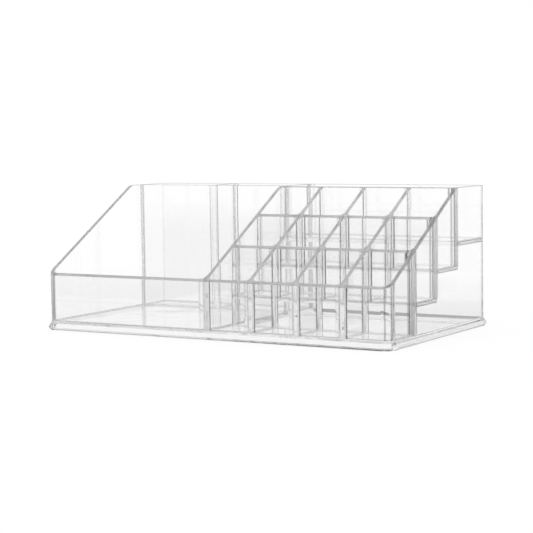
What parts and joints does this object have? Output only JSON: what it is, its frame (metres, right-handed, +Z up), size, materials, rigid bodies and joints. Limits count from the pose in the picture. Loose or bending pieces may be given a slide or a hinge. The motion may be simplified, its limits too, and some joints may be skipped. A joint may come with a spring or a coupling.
{
  "type": "storage organizer",
  "caption": "Clear plastic vanity organizer: open front tray, two tall rear pockets, twelve stepped square slots and a long rear compartment, with sloping sides and a flared foot rim.",
  "frame": {"origin": "on the surface that the foot rim stands on, under the middle of the body", "axes": "+X to the right along the width, +Y to the back and +Z up, as seen from the front"},
  "size_m": [0.224, 0.1252, 0.08],
  "materials": {
    "clear_plastic": "polished, colourless and transparent"
  },
  "bodies": {
    "root": {"foot_rim": "clear_plastic", "base_floor": "clear_plastic", "front_wall": "clear_plastic", "back_wall": "clear_plastic", "left_side_wall": "clear_plastic", "right_side_wall": "clear_plastic", "section_divider": "clear_plastic", "pocket_wall": "clear_plastic", "pocket_divider": "clear_plastic", "tier_wall_2": "clear_plastic", "tier_wall_3": "clear_plastic", "tier_wall_4": "clear_plastic", "tier_floor_2": "clear_plastic", "tier_floor_3": "clear_plastic", "tier_floor_4": "clear_plastic", "slot_divider_row_1_1": "clear_plastic", "slot_divider_row_1_2": "clear_plastic", "slot_divider_row_1_3": "clear_plastic", "slot_divider_row_2_1": "clear_plastic", "slot_divider_row_2_2": "clear_plastic", "slot_divider_row_2_3": "clear_plastic", "slot_divider_row_3_1": "clear_plastic", "slot_divider_row_3_2": "clear_plastic", "slot_divider_row_3_3": "clear_plastic"}
  },
  "joints": []
}
